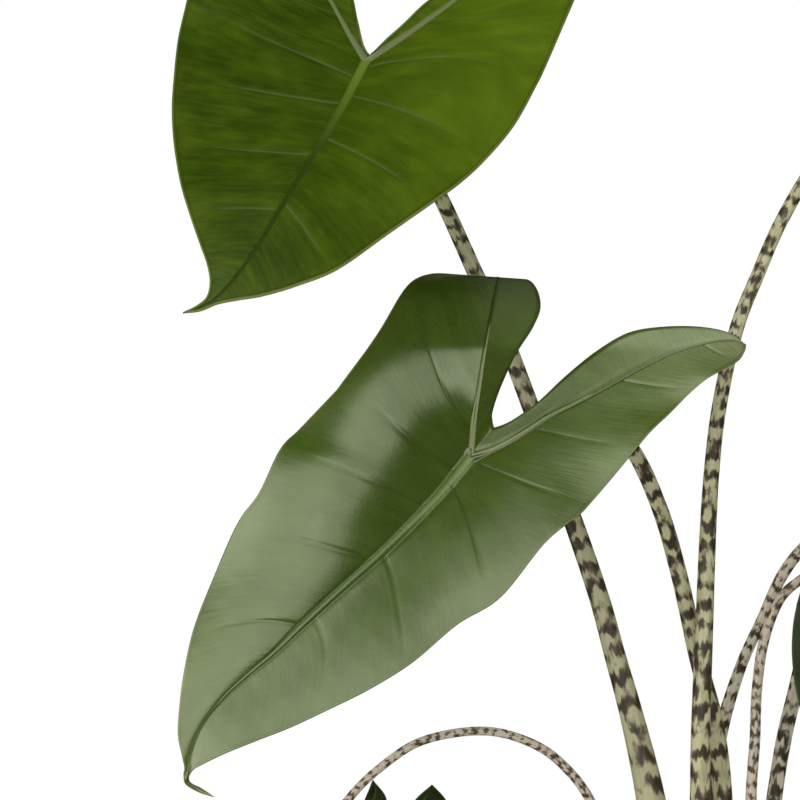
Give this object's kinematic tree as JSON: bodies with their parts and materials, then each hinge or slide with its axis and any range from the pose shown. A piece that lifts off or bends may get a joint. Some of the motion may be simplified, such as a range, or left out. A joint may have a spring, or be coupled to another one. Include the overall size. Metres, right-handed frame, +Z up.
{
  "type": "potted zebrina alocasia",
  "caption": "Potted zebrina alocasia: arrow-shaped, veined green leaves on tall arching stalks banded brown and cream, growing from a crown in a plain dark nursery pot of soil.",
  "frame": {"origin": "middle of the pot's underside, on the surface it stands on", "axes": "+Z up out of the pot, -Y towards the side the plant is seen from, +X to that viewer's right"},
  "size_m": [0.4929, 0.4848, 0.7101],
  "materials": {
    "pot": "matte",
    "soil": "rough crumbs of peat and bark",
    "rhizome": "rough",
    "petiole": "satin, banded brown and cream",
    "blade": "waxy satin"
  },
  "bodies": {
    "root": {"pot": "pot", "soil": "soil", "rhizome": "rhizome", "upper_left_petiole": "petiole", "upper_left_blade": "blade", "front_left_petiole": "petiole", "front_left_blade": "blade", "top_right_petiole": "petiole", "top_right_blade": "blade", "mid_right_petiole": "petiole", "mid_right_blade": "blade", "low_right_petiole": "petiole", "low_right_blade": "blade", "back_right_petiole": "petiole", "back_right_blade": "blade", "low_left_petiole": "petiole", "low_left_blade": "blade"}
  },
  "joints": []
}
